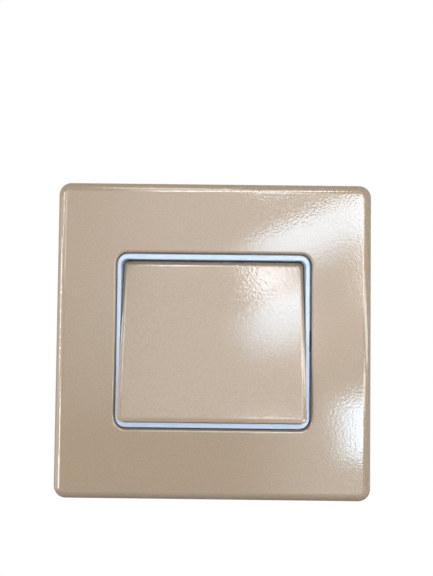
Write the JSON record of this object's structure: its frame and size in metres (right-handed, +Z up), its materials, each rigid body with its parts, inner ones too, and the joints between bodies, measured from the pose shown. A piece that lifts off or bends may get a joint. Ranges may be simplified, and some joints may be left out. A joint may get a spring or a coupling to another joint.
{
  "type": "rocker wall switch",
  "caption": "Square flush-mount rocker wall switch with a champagne metallic frame, a recessed pale blue ring, a wide tilting rocker and a two-way mechanism behind it.",
  "frame": {"origin": "midway between the two fixing slots, on the back face of the mounting plate, which is the wall plane", "axes": "+X to the right seen from the front, -Y out of the wall towards the user, +Z up"},
  "size_m": [0.086, 0.033, 0.086],
  "materials": {
    "champagne_paint": "metallic champagne paint under semi-gloss lacquer",
    "ring_plastic": "satin moulded pale blue",
    "white_plastic": "matt moulded white",
    "grey_plastic": "matt moulded light grey",
    "steel": "bright zinc plate",
    "brass": "stamped and milled brass",
    "contact_silver": "silver contact metal"
  },
  "bodies": {
    "root": {"front_frame": "champagne_paint", "trim_ring": "ring_plastic", "mounting_plate": "white_plastic", "mechanism_plate": "grey_plastic", "switch_housing": "white_plastic", "module_screws": "steel", "common_terminal": "brass", "upper_terminal": "brass", "lower_terminal": "brass", "upper_fixed_contact": "contact_silver", "lower_fixed_contact": "contact_silver", "left_clamp_block": "brass", "middle_clamp_block": "brass", "right_clamp_block": "brass", "terminal_screws": "steel", "terminal_shield": "grey_plastic"},
    "rocker": {"rocker_cap": "champagne_paint", "rocker_lever": "white_plastic", "plunger_spring": "steel"},
    "plunger": {"plunger": "steel"},
    "contact_arm": {"contact_arm": "brass", "upper_moving_contact": "contact_silver", "lower_moving_contact": "contact_silver"}
  },
  "joints": [
    {"name": "rocker_hinge", "type": "hinge", "parent": "root", "child": "rocker", "pos_m": [0, -0.005, 0], "axis": [1, 0, 0], "range_deg": [0, 16.8]},
    {"name": "plunger_slide", "type": "slide", "parent": "rocker", "child": "plunger", "axis": [0, -0.9893, 0.1461], "range_m": [0, 0.0006], "stiffness_N_per_m": 400, "springref_m": -0.001, "deforming": ["plunger_spring"]},
    {"name": "arm_hinge", "type": "hinge", "parent": "root", "child": "contact_arm", "pos_m": [0, 0.00589, 0], "axis": [1, 0, 0], "range_deg": [-16.8, 0]}
  ],
  "couplings": [
    {"joint": "arm_hinge", "follows": "rocker_hinge", "ratio": -1}
  ]
}
